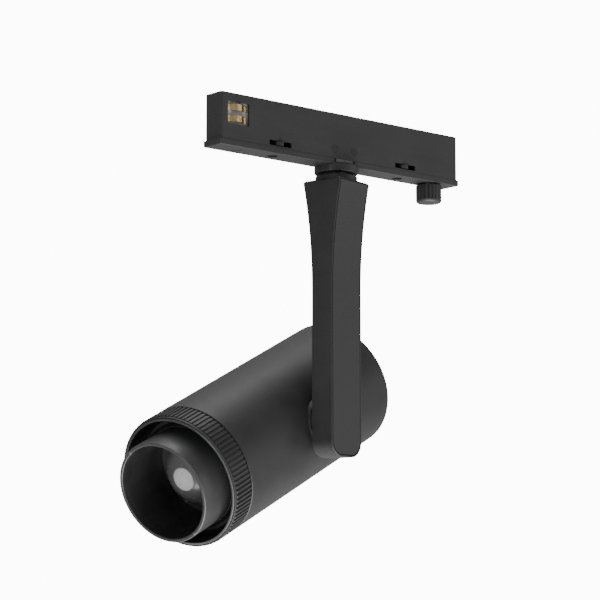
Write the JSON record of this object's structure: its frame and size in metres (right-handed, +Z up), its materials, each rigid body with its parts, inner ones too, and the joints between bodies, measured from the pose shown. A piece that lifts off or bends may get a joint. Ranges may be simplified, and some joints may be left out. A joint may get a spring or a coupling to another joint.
{
  "type": "track spotlight",
  "caption": "Track-mounted spotlight with a cylindrical zoom head on a flared hanging arm, a swivel under a slim in-track adapter and a dimmer knob.",
  "frame": {"origin": "centre of the adapter's top face, which bears on the ceiling of the track, above the swivel axis", "axes": "+Z up along the swivel axis, +X along the track towards the dimmer knob, +Y to the side on which the head hangs"},
  "size_m": [0.1784, 0.0979, 0.2142],
  "materials": {
    "powder_coat": "fine matte black powder coat",
    "black_anodised": "satin black anodised",
    "black_plastic": "matte black moulding",
    "grey_insulator": "moulded insulator",
    "black_steel": "black oxide",
    "plated_steel": "zinc plated",
    "contact_brass": "spring brass",
    "circuit_board": "laminate with solder resist",
    "bare_aluminium": "as cast and machined",
    "fibre_washer": "pressed fibre",
    "lead_jacket": "silicone jacket",
    "phosphor": "silicone with phosphor",
    "reflector_film": "vacuum metallised",
    "lens_glass": "clear with a frosted centre"
  },
  "bodies": {
    "adapter": {"adapter_housing": "black_plastic", "swivel_bush": "black_anodised", "bush_screws": "black_steel", "cover_plate_left": "black_plastic", "cover_plate_right": "black_plastic", "blank_plug": "black_plastic", "contact_carrier": "grey_insulator", "contact_leaves": "contact_brass", "driver_board": "circuit_board", "driver_components": "grey_insulator", "cam_bridges": "black_plastic", "dimmer_pot": "grey_insulator", "upper_collar": "powder_coat"},
    "left_cam": {"lock_cam_left": "black_plastic"},
    "right_cam": {"lock_cam_right": "black_plastic"},
    "dimmer": {"dimmer_shaft": "plated_steel", "dimmer_knob": "black_plastic"},
    "arm": {"lower_collar": "powder_coat", "swivel_washer": "fibre_washer", "swivel_nipple": "plated_steel", "top_washer": "plated_steel", "top_nut": "plated_steel", "lower_nut": "plated_steel", "arm_body": "powder_coat", "arm_cover": "powder_coat", "arm_lead": "lead_jacket", "pivot_bolt": "plated_steel", "friction_washer": "fibre_washer", "disc_spring": "plated_steel", "pivot_nut": "plated_steel"},
    "head": {"pivot_boss": "powder_coat", "pivot_saddle": "bare_aluminium", "head_housing": "powder_coat", "rear_cap": "powder_coat", "rear_cap_screws": "black_steel", "heat_sink": "bare_aluminium", "led_board": "circuit_board", "led_chip": "phosphor", "led_holder": "black_plastic", "led_screws": "plated_steel", "reflector": "reflector_film", "guide_sleeve": "black_anodised", "guide_snap_ring": "black_steel"},
    "zoom_ring": {"cam_barrel": "black_anodised", "zoom_grip": "powder_coat"},
    "lens_unit": {"lens_tube": "black_anodised", "follower_pins": "plated_steel", "lens": "lens_glass", "lens_retainer": "black_anodised"}
  },
  "joints": [
    {"name": "arm_swivel", "type": "hinge", "parent": "adapter", "child": "arm", "pos_m": [0, 0, -0.03], "axis": [0, 0, 1], "range_deg": [-176, 153]},
    {"name": "head_tilt", "type": "hinge", "parent": "arm", "child": "head", "pos_m": [0, 0, -0.152], "axis": [0.1942, -0.981, 0], "range_deg": [-25, 65]},
    {"name": "zoom_turn", "type": "hinge", "parent": "head", "child": "zoom_ring", "pos_m": [-0.0647, 0.03, -0.17888], "axis": [-0.889, -0.176, -0.4226], "range_deg": [-60, 20]},
    {"name": "lens_slide", "type": "slide", "parent": "head", "child": "lens_unit", "axis": [-0.889, -0.176, -0.4226], "range_m": [-0.012, 0.004]},
    {"name": "dimmer_turn", "type": "hinge", "parent": "adapter", "child": "dimmer", "pos_m": [0.064, 0, -0.03], "axis": [0, 0, 1], "range_deg": [-140, 140]},
    {"name": "left_cam_lock", "type": "hinge", "parent": "adapter", "child": "left_cam", "pos_m": [-0.0416, 0, -0.021], "axis": [0, 0, 1], "range_deg": [0, 90]},
    {"name": "right_cam_lock", "type": "hinge", "parent": "adapter", "child": "right_cam", "pos_m": [0.0416, 0, -0.021], "axis": [0, 0, 1], "range_deg": [0, 90]}
  ],
  "couplings": [
    {"joint": "lens_slide", "follows": "zoom_turn", "m_per_rad": 0.011459}
  ]
}
